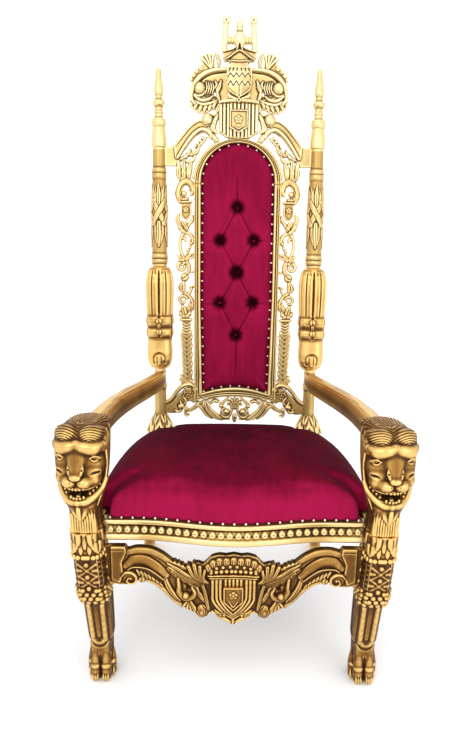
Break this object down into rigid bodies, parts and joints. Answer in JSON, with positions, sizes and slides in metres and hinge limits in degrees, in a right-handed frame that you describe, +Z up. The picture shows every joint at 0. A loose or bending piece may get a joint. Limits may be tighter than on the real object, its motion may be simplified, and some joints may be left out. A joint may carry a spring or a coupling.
{
  "type": "carved throne armchair",
  "caption": "Tall gilded wooden throne armchair with lion-head arms, lion-paw legs, turned posts, pierced carved back with crest, and crimson velvet seat and tufted back pad.",
  "frame": {"origin": "on the floor, under the middle of the chair's bounding box", "axes": "+Z up; -Y is the front of the chair; +X is on the right of a person who faces the chair"},
  "size_m": [0.898, 0.7919, 1.8155],
  "materials": {
    "bright_gilt": "bright antique gold leaf over carved wood, brown patina in the recesses",
    "aged_gilt": "darker brown-gold paint over carved wood, gold rubbed onto the high points",
    "velvet": "short-pile crimson velvet over foam",
    "nail": "small polished dome-head upholstery nails",
    "bare_wood": "unfinished hardwood and plywood, hidden under the seat",
    "lining": "black non-woven lining under the seat"
  },
  "bodies": {
    "root": {"apron": "bright_gilt", "apron_badge": "bright_gilt", "arm_l": "aged_gilt", "arm_r": "aged_gilt", "back_arch": "bright_gilt", "back_button_1": "velvet", "back_button_2": "velvet", "back_button_3": "velvet", "back_button_4": "velvet", "back_button_5": "velvet", "back_button_6": "velvet", "back_button_7": "velvet", "back_lower_rail": "bright_gilt", "back_nail_strip": "nail", "back_pad": "velvet", "back_stile_l": "bright_gilt", "back_stile_r": "bright_gilt", "backboard": "velvet", "bead_moulding": "bright_gilt", "corner_block_fl": "bare_wood", "corner_block_fr": "bare_wood", "corner_block_rl": "bare_wood", "corner_block_rr": "bare_wood", "crest_badge": "bright_gilt", "crest_ball": "bright_gilt", "crest_cartouche": "bright_gilt", "crest_crown": "bright_gilt", "crest_horn_l": "bright_gilt", "crest_horn_r": "bright_gilt", "crest_mantling": "bright_gilt", "crest_shield": "bright_gilt", "crest_shoulder_l": "bright_gilt", "crest_shoulder_r": "bright_gilt", "dust_cover": "lining", "finial_l": "bright_gilt", "finial_r": "bright_gilt", "fret_l": "bright_gilt", "fret_r": "bright_gilt", "front_leg_l": "aged_gilt", "front_leg_r": "aged_gilt", "front_rail": "bright_gilt", "lion_head_l": "aged_gilt", "lion_head_r": "aged_gilt", "lower_bracket_l": "bright_gilt", "lower_bracket_r": "bright_gilt", "lower_shell": "bright_gilt", "post_bundle_l": "bright_gilt", "post_bundle_r": "bright_gilt", "post_foot_l": "bright_gilt", "post_foot_r": "bright_gilt", "post_shaft_l": "bright_gilt", "post_shaft_r": "bright_gilt", "rear_leg_l": "aged_gilt", "rear_leg_r": "aged_gilt", "rear_rail": "bright_gilt", "seat_cushion": "velvet", "seat_deck": "bare_wood", "seat_nail_strip": "nail", "side_rail_l": "bright_gilt", "side_rail_r": "bright_gilt"}
  },
  "joints": []
}
